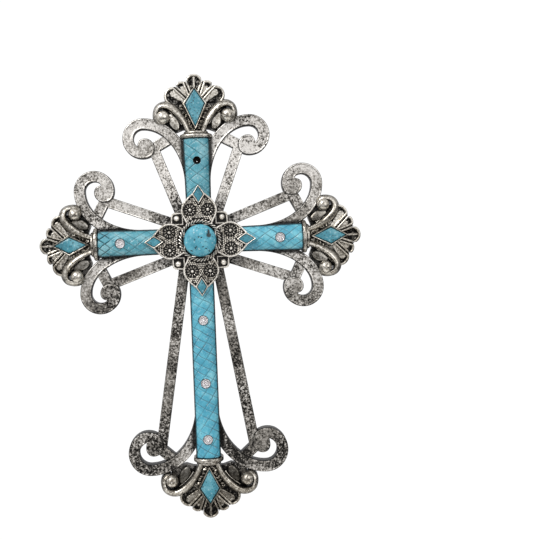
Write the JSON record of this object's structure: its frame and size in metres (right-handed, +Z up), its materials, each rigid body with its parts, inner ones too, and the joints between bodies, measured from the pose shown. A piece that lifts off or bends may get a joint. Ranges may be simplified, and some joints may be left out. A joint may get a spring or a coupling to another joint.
{
  "type": "decorative wall cross",
  "caption": "Latin wall cross of turquoise beams on an open scrolled silver frame, with a rosette in the middle, shell finials, glued clear stones and a nail hole in the top beam.",
  "frame": {"origin": "on the axis of the nail hole in the top beam, where it meets the flat back, which is the plane of the wall", "axes": "+Z up the cross as it hangs, -Y out of the wall towards the eye, +X to the right as one looks at it"},
  "size_m": [0.216, 0.019, 0.2985],
  "materials": {
    "antiqued_silver": "antiqued silver leaf paint with a dark wash in the hollows",
    "turquoise_paint": "glossy turquoise paint with dark wash in the cut lines",
    "clear_stone": "clear faceted stone"
  },
  "bodies": {
    "root": {"cross_casting": "antiqued_silver", "clear_stone_right_arm": "clear_stone", "clear_stone_left_arm": "clear_stone", "clear_stone_long_beam_upper": "clear_stone", "clear_stone_long_beam_middle": "clear_stone", "clear_stone_long_beam_lower": "clear_stone"}
  },
  "joints": []
}
